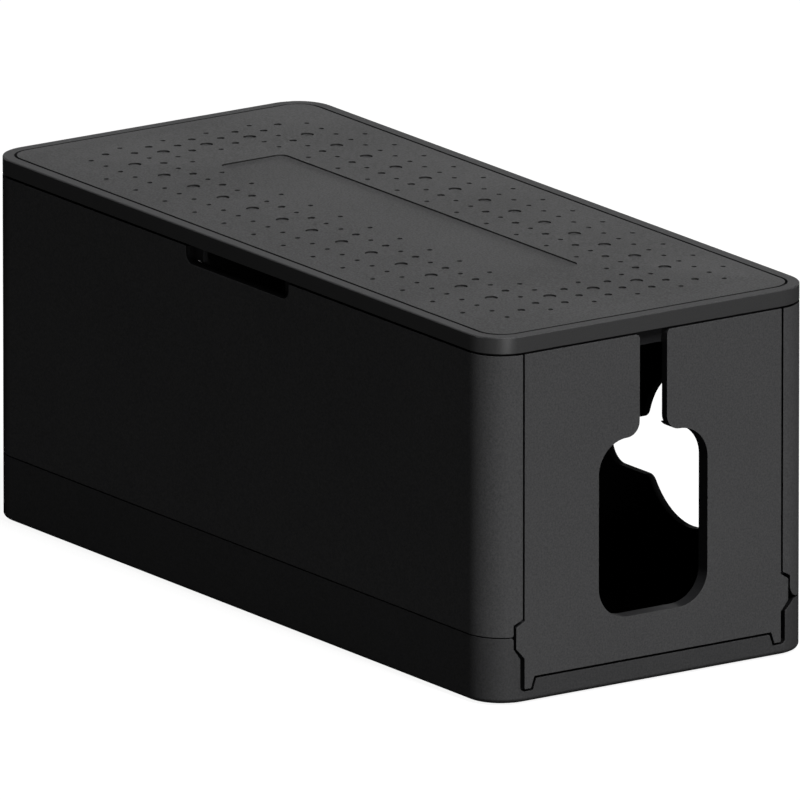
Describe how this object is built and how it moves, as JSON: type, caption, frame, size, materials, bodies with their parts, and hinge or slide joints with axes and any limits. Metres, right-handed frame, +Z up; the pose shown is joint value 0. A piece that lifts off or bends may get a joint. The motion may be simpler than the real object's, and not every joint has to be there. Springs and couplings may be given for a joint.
{
  "type": "cable management box",
  "caption": "Long lidded box for a power strip: base tray, wrap-round walls, keyhole end panels with cable slots, and a lift-off lid with a dimpled pad.",
  "frame": {"origin": "middle of the footprint, on the floor under the rubber feet", "axes": "+X along the box towards the right end panel, +Y to the back wall with the cable ports, +Z up"},
  "size_m": [0.34, 0.149, 0.1454],
  "materials": {
    "shell": "fine matte moulded black",
    "panel": "fine matte moulded black",
    "lid": "satin moulded black",
    "pad": "grained matte black",
    "foot": "matte rubber"
  },
  "bodies": {
    "box": {"base_tray": "shell", "front_wall": "shell", "back_wall": "shell", "left_end_panel": "panel", "right_end_panel": "panel", "foot_front_left": "foot", "foot_front_right": "foot", "foot_back_left": "foot", "foot_back_right": "foot"},
    "lid": {"lid": "lid", "lid_pad": "pad"}
  },
  "joints": [
    {"name": "lid_lift", "type": "slide", "parent": "box", "child": "lid", "axis": [0, 0, 1], "range_m": [0, 0.15]}
  ]
}
